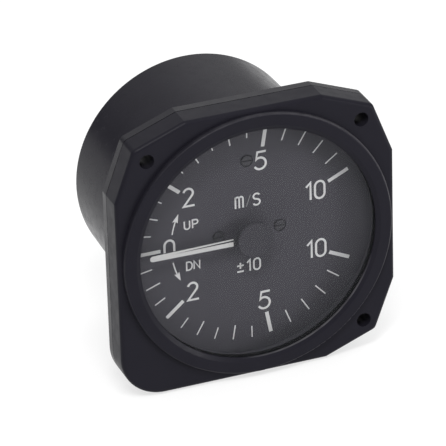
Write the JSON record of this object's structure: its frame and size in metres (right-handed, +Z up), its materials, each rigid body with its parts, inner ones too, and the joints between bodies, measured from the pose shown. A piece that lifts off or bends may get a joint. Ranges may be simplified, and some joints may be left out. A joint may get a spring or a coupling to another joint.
{
  "type": "variometer",
  "caption": "Round-dial variometer for an aircraft panel: square dark flange, raised pilot ring, white hand at zero, plain drum case with a rear static port.",
  "frame": {"origin": "on the instrument's axis, in the flange's front face, which lies against the panel", "axes": "+X to the right of the dial, +Y to the rear of the case, +Z up"},
  "size_m": [0.082, 0.0693, 0.082],
  "materials": {
    "bezel_black": "satin, fine grain",
    "case_black": "soft gloss",
    "glass_clear": "polished",
    "gasket_rubber": "matt",
    "ring_black": "matt black",
    "dial_grey": "matt dark grey",
    "screw_dark": "blackened",
    "screw_steel": "plain",
    "plate_brass": "brushed",
    "bright_brass": "turned",
    "staff_steel": "polished",
    "pointer_white": "matt white",
    "pointer_black": "matt black",
    "capsule_bronze": "rolled sheet",
    "solder": "satin",
    "port_metal": "turned"
  },
  "bodies": {
    "root": {"bezel_frame": "bezel_black", "cover_glass": "glass_clear", "glass_gasket": "gasket_rubber", "glass_retaining_ring": "ring_black", "dial_spacer_ring": "ring_black", "dial_plate": "dial_grey", "dial_posts": "bright_brass", "dial_screws": "screw_dark", "seam_gasket": "gasket_rubber", "bezel_screws": "screw_dark", "case_flange": "case_black", "case_drum": "case_black", "static_port_nipple": "port_metal", "port_seal": "gasket_rubber", "capsule_base": "bright_brass", "base_screws": "screw_dark", "capillary_ferrule": "bright_brass", "capillary_tube": "glass_clear", "capsule_front_diaphragm": "capsule_bronze", "capsule_rear_diaphragm": "capsule_bronze", "capsule_seam": "solder", "capsule_rear_boss": "bright_brass", "front_plate": "plate_brass", "rear_plate": "plate_brass", "plate_pillars": "bright_brass", "front_pillar_screws": "screw_steel", "rear_pillar_screws": "screw_steel", "seat_screws": "screw_steel", "front_bushes": "bright_brass", "rear_bushes": "bright_brass", "hairspring": "capsule_bronze", "hairspring_stud": "bright_brass", "sector_stop_pins": "staff_steel", "rocking_left_ear": "plate_brass", "rocking_right_ear": "plate_brass", "ear_screws": "screw_steel"},
    "pointer_assembly": {"hand_staff": "staff_steel", "hand_pinion": "bright_brass", "hairspring_collet": "bright_brass", "pointer_blade": "pointer_white", "pointer_bush": "bright_brass", "pointer_cap": "pointer_black"},
    "sector_assembly": {"sector_gear": "plate_brass", "sector_staff": "staff_steel", "sector_lever": "plate_brass"},
    "rocking_assembly": {"rocking_shaft": "staff_steel", "rocking_drive_arm": "plate_brass", "rocking_output_arm": "staff_steel"},
    "capsule_centre": {"capsule_post": "bright_brass"}
  },
  "joints": [
    {"name": "sector_turn", "type": "hinge", "parent": "root", "child": "sector_assembly", "pos_m": [0.01811, 0, -0.008], "axis": [0, 1, 0], "range_deg": [-15.5, 15.5]},
    {"name": "pointer_turn", "type": "hinge", "parent": "root", "child": "pointer_assembly", "pos_m": [0, 0, 0], "axis": [0, 1, 0], "range_deg": [-155.1, 155.1], "deforming": ["hairspring"]},
    {"name": "rocking_turn", "type": "hinge", "parent": "root", "child": "rocking_assembly", "pos_m": [0, 0.024, -0.008], "axis": [1, 0, 0], "range_deg": [-9.77, 9.77]},
    {"name": "capsule_slide", "type": "slide", "parent": "root", "child": "capsule_centre", "axis": [0, -1, 0], "range_m": [-0.00137, 0.00137], "deforming": ["capsule_front_diaphragm"]}
  ],
  "couplings": [
    {"joint": "pointer_turn", "follows": "sector_turn", "ratio": -10},
    {"joint": "rocking_turn", "follows": "sector_turn", "ratio": 0.63},
    {"joint": "capsule_slide", "follows": "sector_turn", "m_per_rad": 0.00504}
  ]
}
